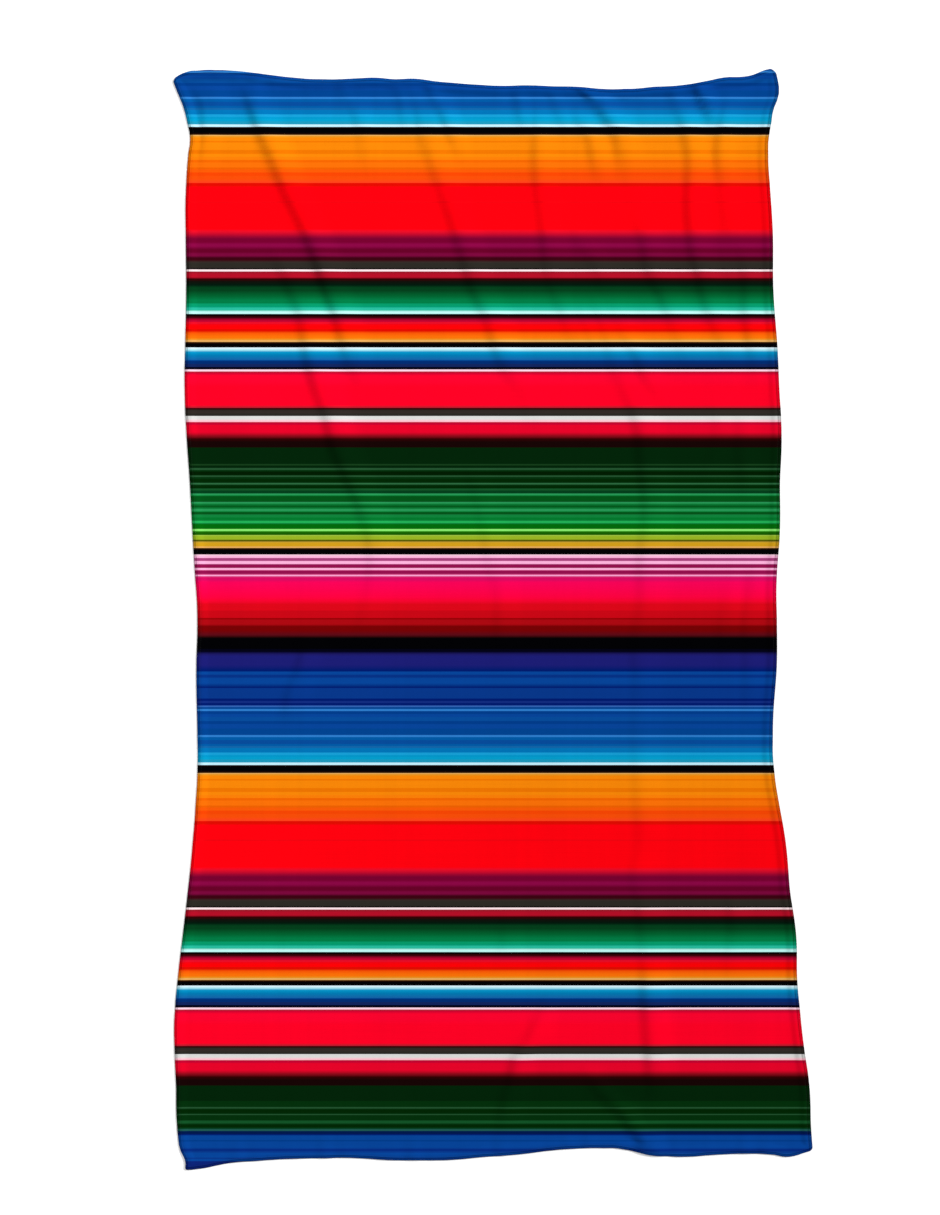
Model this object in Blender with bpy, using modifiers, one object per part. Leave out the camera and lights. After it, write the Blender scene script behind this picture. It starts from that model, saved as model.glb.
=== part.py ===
"""Mexican serape, laid flat on the floor.

One striped panel whose four edges are folded down, with a turned-under hem on the floor beneath each edge.
Metres: +X runs across the cloth, +Y towards its top end, +Z up. The origin is under its middle, on the floor.
"""

import bmesh
import bpy
import numpy as np

MM = 0.001

# Cloth
WALL = 2.0 * MM  # the panel's one layer of dense woven cloth
HEM_WALL = 2.0 * MM  # a hem's turned-under layers, pressed flat
HEM_WIDTH = 10.0 * MM  # from the cloth's edge to the hem's inner edge
HEM_SLOPE = 14.0 * MM  # run over which the panel comes down to the floor beside a hem
SEAM_GAP = 0.3 * MM  # clear space between two pieces
LIFT = HEM_WALL + SEAM_GAP  # height of the panel's underside over a hem
FLOOR_INSET = HEM_WIDTH + HEM_SLOPE  # from the cloth's edge to where the panel lies on the floor

# Grid of the panel between its hems
COLUMNS = 76
ROWS = 32
ROW_CROWDING = 0.8  # below 1, rows lie closer together towards the top end, where the folds are


def table(columns, rows):
    """Rows of millimetres as a dict of named columns in metres."""
    return dict(zip(columns.split(), np.array(rows, dtype=float).T * MM))


# The cloth's side edges: a row for each height up the cloth, measured from its middle.
SIDE_EDGES = table(
    "up left right",
    [
        (-1085, -606, 629),
        (-1045, -616, 630),
        (-920, -624, 624),
        (-770, -626, 605),
        (-625, -611, 598),
        (-535, -601, 587),
        (-435, -591, 577),
        (-355, -585, 563),
        (-230, -582, 552),
        (-85, -583, 560),
        (60, -586, 560),
        (155, -592, 566),
        (270, -597, 565),
        (450, -607, 565),
        (605, -605, 556),
        (760, -605, 552),
        (915, -600, 543),
        (955, -597, 545),
        (1005, -608, 553),
        (1040, -621, 564),
        (1085, -638, 556),
    ],
)

# The cloth's end edges: a row for each place across the cloth, measured from its middle.
END_EDGES = table(
    "across bottom top",
    [
        (-631, -1086, 1065),
        (-606, -1085, 1077),
        (-580, -1083, 1082),
        (-530, -1073, 1083),
        (-470, -1067, 1077),
        (-390, -1063, 1066),
        (-235, -1064, 1066),
        (-150, -1066, 1064),
        (-60, -1063, 1055),
        (30, -1057, 1051),
        (130, -1046, 1050),
        (220, -1042, 1045),
        (285, -1050, 1045),
        (350, -1058, 1050),
        (430, -1056, 1062),
        (505, -1053, 1070),
        (542, -1054, 1083),
        (553, -1055, 1084),
        (631, -1045, 1040),
    ],
)

# The largest folds: raised ridges that fan down from the top end. Each passes through three places,
# and falls to the cloth over its own reach on each side.
FOLDS = table(
    "top_x top_y mid_x mid_y end_x end_y height left_reach right_reach",
    [
        (-490, 1035, -360, 728, -245, 410, 5, 26, 44),
        (-425, 690, -320, 335, -252, -30, 6, 28, 46),
        (-200, 1030, -84, 777, 62, 410, 6, 28, 46),
        (55, 1010, 96, 747, 140, 520, 4, 26, 40),
        (180, 1025, 274, 796, 365, 545, 5, 28, 42),
        (175, 745, 250, 570, 318, 420, 4, 26, 40),
        (175, 590, 290, 300, 282, -60, 6, 28, 46),
        (360, 1015, 386, 800, 440, 560, 5, 26, 40),
        (100, -760, 45, -850, 18, -965, 4, 26, 40),
        (185, -905, 250, -975, 312, -1025, 4, 28, 40),
    ],
)
FOLD_FADE = 0.28  # share of a fold's length over which it rises from the cloth at each end

# Each piece's colour
COLOURS = {
    "striped_panel": (0.78, 0.02, 0.05),
    "left_side_hem": (0.72, 0.05, 0.06),
    "right_side_hem": (0.72, 0.05, 0.06),
    "top_hem": (0.01, 0.10, 0.42),
    "bottom_hem": (0.01, 0.08, 0.36),
}
ROUGHNESS = 0.9


def curve(edges, along, side, at):
    """The edge's place at each value of along, joined by parabolas blended from point to point."""
    place, value = edges[along], edges[side]
    slope = np.gradient(value, place)
    at = np.clip(at, place[0], place[-1])
    start = np.clip(np.searchsorted(place, at, side="right") - 1, 0, len(place) - 2)
    run = place[start + 1] - place[start]
    t = (at - place[start]) / run
    before = value[start] + slope[start] * run * t
    after = value[start + 1] - slope[start + 1] * run * (1 - t)
    blend = t * t * (3 - 2 * t)
    return before * (1 - blend) + after * blend


def fold_height(x, y):
    """Height of the ridges above the floor: a squared cosine across each, faded out at both its ends."""
    height = np.zeros_like(x)
    for fold in zip(*FOLDS.values()):
        top_x, top_y, mid_x, mid_y, end_x, end_y, crest, left_reach, right_reach = fold
        path = np.polyfit((top_y, mid_y, end_y), (top_x, mid_x, end_x), 2)
        side = x - np.polyval(path, y)
        reach = np.where(side < 0, left_reach, right_reach)
        across = np.cos(np.pi / 2 * np.clip(side / reach, -1, 1)) ** 2
        down = np.clip((top_y - y) / (top_y - end_y), 0, 1)
        ends = np.clip(np.minimum(down, 1 - down) / FOLD_FADE, 0, 1)
        height = np.maximum(height, crest * across * np.sin(np.pi / 2 * ends) ** 2)
    return height


def stations(insets, cells, crowding=1.0):
    """Shares of the way from the low edge to the high one, and offsets: edge insets, even cells, edge insets."""
    share = np.linspace(0, 1, cells + 1) ** crowding
    inner = insets[-1] * (1 - 2 * share)
    low = np.array(insets[:-1])
    shares = np.concatenate([np.zeros(len(low)), share, np.ones(len(low))])
    offsets = np.concatenate([low, inner, -low[::-1]])
    return shares, offsets


def on_cloth(across, up):
    """X and Y of every crossing of the across and up stations, inside the cloth's four curved edges."""
    (share_x, offset_x), (share_y, offset_y) = across, up
    x = np.zeros((len(share_y), len(share_x)))
    y = np.zeros_like(x)
    for _ in range(12):
        left = curve(SIDE_EDGES, "up", "left", y)
        right = curve(SIDE_EDGES, "up", "right", y)
        x = left + share_x * (right - left) + offset_x
        bottom = curve(END_EDGES, "across", "bottom", x)
        top = curve(END_EDGES, "across", "top", x)
        y = bottom + share_y[:, None] * (top - bottom) + offset_y[:, None]
    return x, y


def cloth_piece(name, x, y, z, thickness, collection):
    """A grid moved to the underside x, y, z, joined where it meets itself and thickened upwards."""
    rows, columns = x.shape
    bpy.ops.mesh.primitive_grid_add(x_subdivisions=columns - 1, y_subdivisions=rows - 1, size=2)
    piece = bpy.context.active_object
    piece.name = name
    mesh = piece.data
    mesh.name = name
    flat = np.empty(len(mesh.vertices) * 3, dtype=np.float32)
    mesh.vertices.foreach_get("co", flat)
    flat = flat.reshape(-1, 3)
    column = np.rint((flat[:, 0] + 1) / 2 * (columns - 1)).astype(int)
    row = np.rint((flat[:, 1] + 1) / 2 * (rows - 1)).astype(int)
    placed = np.stack([x[row, column], y[row, column], z[row, column]], axis=1)
    mesh.vertices.foreach_set("co", placed.ravel())

    shell = bmesh.new()
    shell.from_mesh(mesh)
    bmesh.ops.remove_doubles(shell, verts=shell.verts, dist=0.01 * MM)
    shell.to_mesh(mesh)
    shell.free()
    mesh.update()

    wall = piece.modifiers.new("wall", "SOLIDIFY")
    wall.thickness = thickness
    wall.offset = 1
    wall.use_even_offset = True

    material = bpy.data.materials.new(name)
    material.use_nodes = True
    shader = material.node_tree.nodes["Principled BSDF"]
    shader.inputs["Base Color"].default_value = (*COLOURS[name], 1)
    shader.inputs["Roughness"].default_value = ROUGHNESS
    shader.inputs["Metallic"].default_value = 0
    mesh.materials.append(material)

    for home in piece.users_collection:
        home.objects.unlink(piece)
    collection.objects.link(piece)


def panel(collection):
    """The striped panel: a lip folded down to the floor, a level edge over each hem, and the cloth between."""
    insets = (WALL, WALL, HEM_WIDTH, FLOOR_INSET)
    lifts = (0, LIFT, LIFT, 0)
    across = stations(insets, COLUMNS)
    up = stations(insets, ROWS, ROW_CROWDING)
    x, y = on_cloth(across, up)

    def edge_lifts(cells):
        return np.array([*lifts, *np.zeros(cells - 1), *lifts[::-1]])

    lift_across, lift_up = np.meshgrid(edge_lifts(COLUMNS), edge_lifts(ROWS))
    lift = np.maximum(lift_across, lift_up)
    lift[[0, -1], :] = 0
    lift[:, [0, -1]] = 0
    cloth_piece("striped_panel", x, y, fold_height(x, y) + lift, WALL, collection)


def end_hems(collection):
    """The top and bottom hems, across the whole width, on the panel's own columns."""
    outer, inner = WALL + SEAM_GAP, HEM_WIDTH
    across = stations((outer, HEM_WIDTH, FLOOR_INSET), COLUMNS)
    for name, share, sign in (("bottom_hem", 0, 1), ("top_hem", 1, -1)):
        offsets = np.sort(np.array([outer, inner]) * sign)
        x, y = on_cloth(across, (np.full(2, float(share)), offsets))
        cloth_piece(name, x, y, np.zeros_like(x), HEM_WALL, collection)


def side_hems(collection):
    """The left and right hems, between the end hems, on the panel's own rows."""
    outer, inner = WALL + SEAM_GAP, HEM_WIDTH
    up = stations((HEM_WIDTH + SEAM_GAP, FLOOR_INSET), ROWS, ROW_CROWDING)
    for name, share, sign in (("left_side_hem", 0, 1), ("right_side_hem", 1, -1)):
        offsets = np.sort(np.array([outer, inner]) * sign)
        x, y = on_cloth((np.full(2, float(share)), offsets), up)
        cloth_piece(name, x, y, np.zeros_like(x), HEM_WALL, collection)


def main():
    for item in list(bpy.data.objects):
        bpy.data.objects.remove(item, do_unlink=True)
    serape = bpy.data.collections.new("mexican_serape")
    bpy.context.scene.collection.children.link(serape)
    panel(serape)
    end_hems(serape)
    side_hems(serape)


main()
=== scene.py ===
"""Mexican serape laid flat: the striped cloth, its turned-under hems and their stitching.

Metres: +X across the cloth, +Y towards its top end, +Z up from the floor.
Every cloth piece carries a UV map named "cloth", in metres: how far across and how far up the striped cloth
each point was woven. The stripes are charted in picks, the single weft threads, and read from that map.
"""

import bpy
import numpy as np
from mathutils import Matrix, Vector


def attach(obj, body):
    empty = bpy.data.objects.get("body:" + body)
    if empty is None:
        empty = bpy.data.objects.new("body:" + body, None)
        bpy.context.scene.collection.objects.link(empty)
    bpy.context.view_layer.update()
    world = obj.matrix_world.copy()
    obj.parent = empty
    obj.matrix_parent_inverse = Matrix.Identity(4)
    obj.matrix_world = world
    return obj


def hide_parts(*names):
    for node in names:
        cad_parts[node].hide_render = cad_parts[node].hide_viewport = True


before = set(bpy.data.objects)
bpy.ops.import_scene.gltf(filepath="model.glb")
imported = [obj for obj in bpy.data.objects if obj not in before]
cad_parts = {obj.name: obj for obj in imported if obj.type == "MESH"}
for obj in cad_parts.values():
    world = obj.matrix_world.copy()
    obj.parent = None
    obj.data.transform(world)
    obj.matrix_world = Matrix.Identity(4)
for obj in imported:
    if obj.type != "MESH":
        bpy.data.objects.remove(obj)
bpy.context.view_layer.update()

MM = 0.001

# ---------------------------------------------------------------- sizes

WALL = 2.0 * MM  # the panel's one layer of dense woven cloth
HEM_WALL = 3.4 * MM  # a hem's two turned-under layers, pressed flat
HEM_WIDTH = 10.0 * MM  # from the cloth's edge to the hem's inner edge
HEM_SLOPE = 14.0 * MM  # run over which the panel comes down to the floor beside a hem
SEAM_GAP = 0.3 * MM  # clear space between two pieces
LIFT = HEM_WALL + SEAM_GAP  # height of the panel's underside over a hem
FLOOR_INSET = HEM_WIDTH + HEM_SLOPE  # from the cloth's edge to where the panel lies on the floor

LIP_STEPS = 5  # grid steps round the folded edge
# Grid lines beside each edge, by how far in they lie, closest together at the stitches.
HEM_STATIONS = np.array([5.5, 6.6, 7.5, 8.4, 9.5, 11, 12.8, 14.8, 17, 19.2, 21.5, 24]) * MM
COLUMNS = 208  # even grid cells across, between the hems' slopes
ROWS = 156  # and up the cloth
SETTLING_ROUNDS = 14  # rounds in which grid points settle between the four curved edges

BAND_INSET = 2.8 * MM  # from the cloth's edge to a hem band's outer edge, inside the fold
BAND_STEPS = 3  # grid steps round a band's edge
BAND_START = np.radians(15)  # how far round its half-circle a band's edge face reaches

STITCH_INSET = 7.5 * MM  # from the cloth's edge to the row of stitches
STITCH_PITCH = 4.4 * MM
STITCH_LENGTH = 3.2 * MM
THREAD_RADIUS = 0.28 * MM
THREAD_ARCH = 0.9  # radii by which a stitch's middle stands above its ends
THREAD_SINK = 0.5  # radii by which its ends lie in the cloth
THREAD_SIDES = 6
THREAD_STATIONS = 5
GROOVE_DEPTH = 0.3 * MM  # how far the stitches pull the cloth in
GROOVE_REACH = 1.2 * MM

# The bake map, which is 1 wide and 1 high: the clear edge round each half, a half's width and height, and the
# low and high edge of the rim's strip.
BAKE_EDGE = 0.003
BAKE_HALF = (0.494, 0.985)
BAKE_STRIP = (0.992, 0.999)

CORNER_RADII = {
    "bottom left": 5.0 * MM,
    "bottom right": 6.0 * MM,
    "top left": 8.0 * MM,
    "top right": 12.0 * MM,
}

SIDE_NAMES = ("left", "right")
END_NAMES = ("bottom", "top")
HEMS = {  # each hem's side, 0 for left or bottom and 1 for right or top, and whether it lies along an end
    "left_side": (0, False),
    "right_side": (1, False),
    "bottom": (0, True),
    "top": (1, True),
}


def table(columns, rows):
    """Rows of millimetres as a dict of named columns in metres."""
    return dict(zip(columns.split(), np.array(rows, dtype=float).T * MM))


# The cloth's side edges: a row for each height up the cloth, measured from its middle.
SIDE_EDGES = table(
    "up left right",
    [
        (-1086, -606, 629),
        (-1061, -608, 629),
        (-1045, -616, 630),
        (-1028, -619, 629),
        (-998, -622, 627),
        (-920, -624, 624),
        (-848, -627, 614),
        (-766, -626, 605),
        (-711, -621, 600),
        (-624, -611, 598),
        (-537, -601, 586),
        (-437, -591, 577),
        (-356, -585, 563),
        (-301, -582, 555),
        (-228, -582, 552),
        (-84, -584, 560),
        (-5, -582, 560),
        (91, -587, 560),
        (156, -591, 565),
        (270, -597, 566),
        (375, -604, 569),
        (448, -607, 565),
        (538, -606, 561),
        (649, -604, 553),
        (759, -605, 552),
        (858, -604, 546),
        (917, -600, 543),
        (956, -597, 545),
        (978, -602, 549),
        (1004, -608, 553),
        (1028, -617, 562),
        (1045, -624, 564),
        (1065, -631, 561),
        (1085, -637, 556),
    ],
)

# The cloth's end edges: a row for each place across the cloth, measured from its middle.
END_EDGES = table(
    "across bottom top",
    [
        (-631, -1086, 1064),
        (-604, -1085, 1078),
        (-581, -1083, 1081),
        (-543, -1076, 1082),
        (-516, -1071, 1081),
        (-474, -1068, 1077),
        (-435, -1065, 1072),
        (-390, -1063, 1067),
        (-334, -1062, 1064),
        (-262, -1062, 1066),
        (-230, -1064, 1067),
        (-193, -1066, 1064),
        (-153, -1066, 1065),
        (-114, -1066, 1060),
        (-80, -1065, 1057),
        (-25, -1060, 1053),
        (20, -1057, 1051),
        (64, -1053, 1052),
        (121, -1046, 1050),
        (168, -1043, 1049),
        (215, -1042, 1045),
        (261, -1045, 1045),
        (288, -1051, 1046),
        (316, -1057, 1049),
        (341, -1058, 1050),
        (377, -1059, 1053),
        (424, -1056, 1061),
        (461, -1054, 1068),
        (493, -1053, 1069),
        (510, -1053, 1072),
        (540, -1054, 1083),
        (553, -1055, 1085),
        (595, -1057, 1078),
        (611, -1052, 1070),
        (631, -1046, 1060),
    ],
)

# Folds that lie in the cloth as soft ridges, in millimetres. Each has a reach over which it falls to the
# cloth on its left and on its right, and knots down the middle of its left flank, the steep one: across, up
# and height.
FOLDS = {
    "by_the_left_edge": ((20, 40), (
        (-600, 1056, 0), (-579, 1022, 4.4), (-575, 985, 5.2), (-575, 945, 5.4), (-581, 905, 3.6),
        (-588, 860, 1.8), (-590, 815, 0),
    )),
    "upper_left_slack": ((30, 40), (
        (-578, 1060, 0), (-566, 1035, 4.6), (-560, 1000, 4), (-556, 960, 0),
    )),
    "far_left": ((26, 52), (
        (-500, 1062, 0), (-483, 1014, 7.6), (-468, 970, 10.1), (-440, 906, 10.1), (-412, 838, 10.1),
        (-375, 762, 10.1), (-360, 726, 11.3), (-334, 650, 10.1), (-312, 590, 8.2), (-300, 545, 6.3),
        (-262, 440, 0),
    )),
    "left_middle": ((28, 55), (
        (-445, 730, 0), (-422, 690, 6.1), (-404, 649, 7.3), (-380, 579, 7.3), (-374, 535, 8.5),
        (-361, 480, 10.4), (-345, 430, 8.9), (-333, 399, 9.6), (-322, 350, 10.1), (-298, 291, 8.9),
        (-279, 250, 8.4), (-262, 205, 6.2), (-250, 165, 4.9), (-245, 110, 3.4), (-256, 40, 2.4),
        (-266, -10, 2.4), (-285, -70, 0),
    )),
    "faint_left": ((24, 40), (
        (-295, 1040, 0), (-276, 992, 4.3), (-266, 956, 2.9), (-261, 920, 1.9), (-248, 870, 0),
    )),
    "left_of_centre": ((20, 30), (
        (-193, 1056, 0), (-186, 1020, 3), (-181, 985, 2.3), (-174, 945, 0),
    )),
    "centre_left": ((28, 52), (
        (-168, 1052, 0), (-160, 1025, 3.9), (-152, 990, 5), (-145, 955, 5.3), (-134, 922, 5.4),
        (-112, 860, 6.1), (-87, 788, 8.1), (-76, 752, 8), (-53, 682, 8), (-40, 640, 8.5), (-23, 608, 7),
        (-10, 572, 7), (2, 530, 7.5), (14, 500, 5.5), (38, 462, 2.2), (70, 392, 1.2), (80, 340, 0),
    )),
    "centre_left_twig": ((22, 36), (
        (-134, 1056, 0), (-124, 1028, 5.4), (-108, 998, 7), (-95, 968, 6.5), (-82, 930, 3), (-72, 890, 0),
    )),
    "centre_pleat": ((20, 28), (
        (36, 1050, 0), (47, 1005, 3.2), (56, 972, 2), (66, 942, 0),
    )),
    "centre": ((24, 46), (
        (76, 1030, 0), (79, 985, 2.9), (80, 950, 5.3), (80, 885, 6.1), (90, 800, 5.3), (96, 746, 6.3),
        (100, 705, 4.8), (106, 670, 3.2), (117, 638, 3.9), (134, 600, 2.9), (146, 560, 1.9), (155, 520, 0),
    )),
    "right_pleat": ((20, 28), (
        (104, 1050, 0), (117, 1015, 3.1), (128, 985, 3.1), (140, 950, 0),
    )),
    "centre_right": ((27, 48), (
        (150, 1054, 0), (180, 1033, 7.3), (204, 1004, 12), (222, 982, 11), (236, 955, 8.4), (244, 925, 6.8),
        (250, 892, 2.8), (260, 850, 1.5), (270, 815, 1), (276, 784, 2.6), (291, 748, 5.2), (296, 712, 6.8),
        (308, 672, 6.3), (326, 640, 7.3), (339, 604, 4.2), (355, 565, 2.8), (365, 528, 1.9), (374, 490, 0),
    )),
    "centre_right_twig": ((22, 36), (
        (150, 1010, 0), (160, 985, 3.7), (184, 950, 5.9), (191, 916, 5.9), (198, 880, 2.7), (204, 850, 0),
    )),
    "right_of_centre": ((26, 42), (
        (150, 775, 0), (170, 732, 2.6), (196, 696, 3.4), (208, 660, 2.1), (222, 624, 1.6), (240, 588, 3),
        (252, 552, 4.3), (277, 516, 6.1), (290, 480, 4.7), (310, 444, 2.1), (325, 415, 0),
    )),
    "right_of_centre_twig": ((22, 34), (
        (148, 655, 0), (164, 610, 2), (180, 565, 2.3), (196, 520, 0),
    )),
    "long": ((28, 54), (
        (176, 655, 0), (196, 610, 2.4), (214, 560, 3.1), (226, 515, 3.2), (244, 470, 3.1), (262, 430, 4.3),
        (280, 377, 7.1), (287, 305, 6.7), (293, 269, 7.1), (296, 233, 6.3), (295, 180, 5.3),
        (288, 125, 4.8), (288, 70, 3.7), (286, 17, 3.7), (277, -25, 3.1), (277, -91, 4.3), (279, -130, 3),
        (276, -200, 2.7), (278, -290, 3.1), (281, -379, 3.8), (283, -450, 3.2), (273, -505, 3.7),
        (284, -560, 3.5), (286, -595, 5.7), (291, -635, 3), (294, -690, 5.3), (295, -739, 8.2),
        (298, -800, 8.6), (302, -860, 8.2), (304, -890, 7.1), (303, -935, 2.9), (300, -965, 1.7),
        (285, -995, 3.7), (288, -1027, 9.6), (292, -1060, 0),
    )),
    "right": ((26, 42), (
        (338, 1050, 0), (352, 1025, 3.6), (362, 1002, 7), (370, 966, 8.5), (380, 925, 8), (381, 860, 8.8),
        (381, 790, 9.4), (386, 750, 8), (390, 714, 8.5), (402, 678, 7.5), (409, 642, 7.5), (420, 606, 5.5),
        (434, 570, 3.9), (448, 534, 2.4), (458, 500, 0),
    )),
    "right_twig": ((22, 32), (
        (392, 1066, 0), (399, 1044, 9), (409, 1018, 13.6), (417, 1000, 7.9), (424, 975, 0),
    )),
    "far_right": ((24, 38), (
        (454, 1035, 0), (448, 1000, 6.5), (443, 960, 7.8), (438, 925, 7.8), (440, 890, 5.2),
        (446, 850, 2.8), (450, 812, 3.2), (454, 776, 2.2), (458, 740, 0),
    )),
    "by_the_right_edge": ((24, 38), (
        (478, 745, 0), (490, 692, 3.7), (494, 656, 6.1), (492, 620, 5.7), (496, 584, 6.1), (500, 548, 5.1),
        (506, 512, 2.8), (505, 470, 1.1), (505, 430, 0),
    )),
    "right_slack": ((26, 40), (
        (425, 430, 0), (436, 385, 2.3), (432, 345, 2), (420, 310, 2.8), (406, 275, 2.1), (404, 235, 0),
    )),
    "right_edge_slack": ((26, 38), (
        (478, 420, 0), (480, 372, 3.1), (480, 330, 3.7), (485, 296, 4.3), (485, 262, 2.3), (480, 225, 0),
    )),
    "waist_left": ((24, 46), (
        (-372, -40, 0), (-384, -85, 7), (-398, -124, 4.2), (-409, -160, 5.6), (-418, -195, 0),
    )),
    "waist_centre": ((26, 46), (
        (-60, 310, 0), (-50, 280, 2.3), (-38, 245, 2.6), (-30, 210, 2.3), (-20, 165, 3.4), (-12, 110, 2.3),
        (0, 72, 2.1), (6, 20, 2.8), (5, -36, 2.3), (5, -85, 0),
    )),
    "waist_right": ((26, 40), (
        (455, 80, 0), (452, 32, 2), (445, -10, 2.5), (446, -60, 2.1), (438, -120, 0),
    )),
    "waist_right_edge": ((26, 36), (
        (510, 120, 0), (505, 90, 3.1), (500, 40, 3.6), (493, -10, 3.6), (496, -80, 3.1), (496, -150, 2.3),
        (496, -210, 0),
    )),
    "low_centre": ((24, 40), (
        (22, -560, 0), (16, -600, 1.9), (10, -665, 1.7), (-5, -700, 0),
    )),
    "low_right": ((26, 40), (
        (462, -540, 0), (465, -588, 4.7), (466, -624, 2.8), (458, -670, 2.3), (462, -720, 0),
    )),
    "foot_centre": ((26, 44), (
        (112, -745, 0), (82, -790, 6.4), (63, -829, 8.5), (38, -868, 9.7), (32, -905, 7.5), (18, -945, 6.4),
        (12, -980, 3.8), (8, -1015, 0),
    )),
    "foot_branch": ((26, 40), (
        (165, -880, 0), (184, -905, 3.7), (212, -941, 7), (248, -974, 9.4), (272, -1010, 8),
        (300, -1040, 4.3), (318, -1058, 0),
    )),
}

# Slow swells of the whole cloth: height in millimetres, waves across and up the metre, and start in radians.
SWELLS = ((0.45, 2.3, 0.9, 0.6), (0.35, 3.7, -1.6, 2.1), (0.30, -1.9, 4.1, 4.4), (0.22, 6.1, 2.7, 1.3))
SWELL_FADE = 3 * FLOOR_INSET  # run over which the swells grow from nothing beside a hem

# Small ripples that run in from the end edges, given in the same way.
RIPPLES = ((0.42, 17.0, 1.1, 0.4), (0.36, 23.0, -2.3, 2.6), (0.30, 29.0, 1.9, 5.0), (0.30, 11.0, -1.2, 3.3))
RIPPLE_REACH = {"bottom": 70 * MM, "top": 130 * MM}

# ---------------------------------------------------------------- finish and light

BRIGHTEST = 0.85  # share of the light that the whitest yarn gives back
STRIPE_BLEND = 0.25  # picks, half of the soft join between two stripes
STRIPES_A_RAMP = 15  # a colour ramp holds 32 stops, two a stripe
WAVER = 0.2  # picks, how far a weft strays from straight
WAVER_SCALE = (9, 60)  # noise scale across and up the metre

# Unevenness of the cloth's shade: its share of the shade, then its noise scale.
YARN_DRIFT = 0.08
YARN_DRIFT_SCALE = (5, 3.7)  # across the metre, and up the pick
WARP_STREAK = 0.05
WARP_STREAK_SCALE = (70, 0.9)
MOTTLE = 0.04
MOTTLE_SCALE = 11.0

# Painted shade that darkens the rim's colour: all round within the left reach, further in on the right side.
PAINTED_RIM_SHADE_REACH = {"left": 6.0 * MM, "right": 12.0 * MM}
PAINTED_RIM_SHADE_DEPTH = {"left": 0.42, "right": 0.62}
PAINTED_RIM_SHADE_POWER = 1.5  # above 1, the darkening gathers at the very edge

WARP_PITCH = 2.2 * MM
FUZZ = 0.5  # share of the weave's height
FUZZ_SCALE = 900.0
WEAVE_BUMP = 0.55
WEAVE_DEPTH = 0.12 * MM
CLOTH_ROUGHNESS = (0.84, 0.1)  # its least, and how much mottling adds
CLOTH_SHINE = 0.02

THREAD_TWIST = 0.5 * MM
THREAD_TONE_AND_TWIST_SHADE = (0.9, 0.06)  # its middle tone, and the painted shade and highlight of the twist
THREAD_BUMP = 0.4
THREAD_DEPTH = 0.04 * MM
THREAD_ROUGHNESS = 0.6
THREAD_SHINE = 0.2

FLOOR_SIZE = 40.0
FLOOR_DROP = 0.3 * MM  # below the cloth's underside
FLOOR_TONE = 0.84
FLOOR_MOTTLE = 0.01
FLOOR_MOTTLE_SCALE = 3.0
FLOOR_ROUGHNESS = 0.95
FLOOR_SHINE = 0.1
FLOOR_GLOW = 0.25

DAYLIGHT = 0.38
KEY_HEADING = 25.0  # degrees from +X towards +Y
KEY_HEIGHT = 42.0  # degrees above the floor
KEY_STRENGTH = 2.86
KEY_SPREAD = 12.0  # degrees across
KEY_DISTANCE = 4.0
FILL_SIZE = 1.2
FILLS = {  # where each stands, what it points at, and its strength
    "left_fill": ((-2.0, -0.4, 1.5), (0.0, -0.2, 0.0), 11.0),
    "far_fill": ((0.0, 2.6, 1.6), (0.0, 0.5, 0.0), 20.0),
}

LENS = 300.0  # millimetres, as is the sensor
SENSOR = 36.0
VIEW_HEIGHT = 2.3936  # metres of floor from the bottom of the view to its top
VIEW_MIDDLE = (-0.0448, 0.0232)  # across and up, the place on the cloth that the camera looks down at

# ---------------------------------------------------------------- stripes

PICK = 0.985 * MM  # one weft thread
CHART_TOP = 955.0 * MM  # height up the cloth at which the chart below begins
FOOT_TOP = -948.9 * MM  # height at which the foot band cuts the chart off

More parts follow.
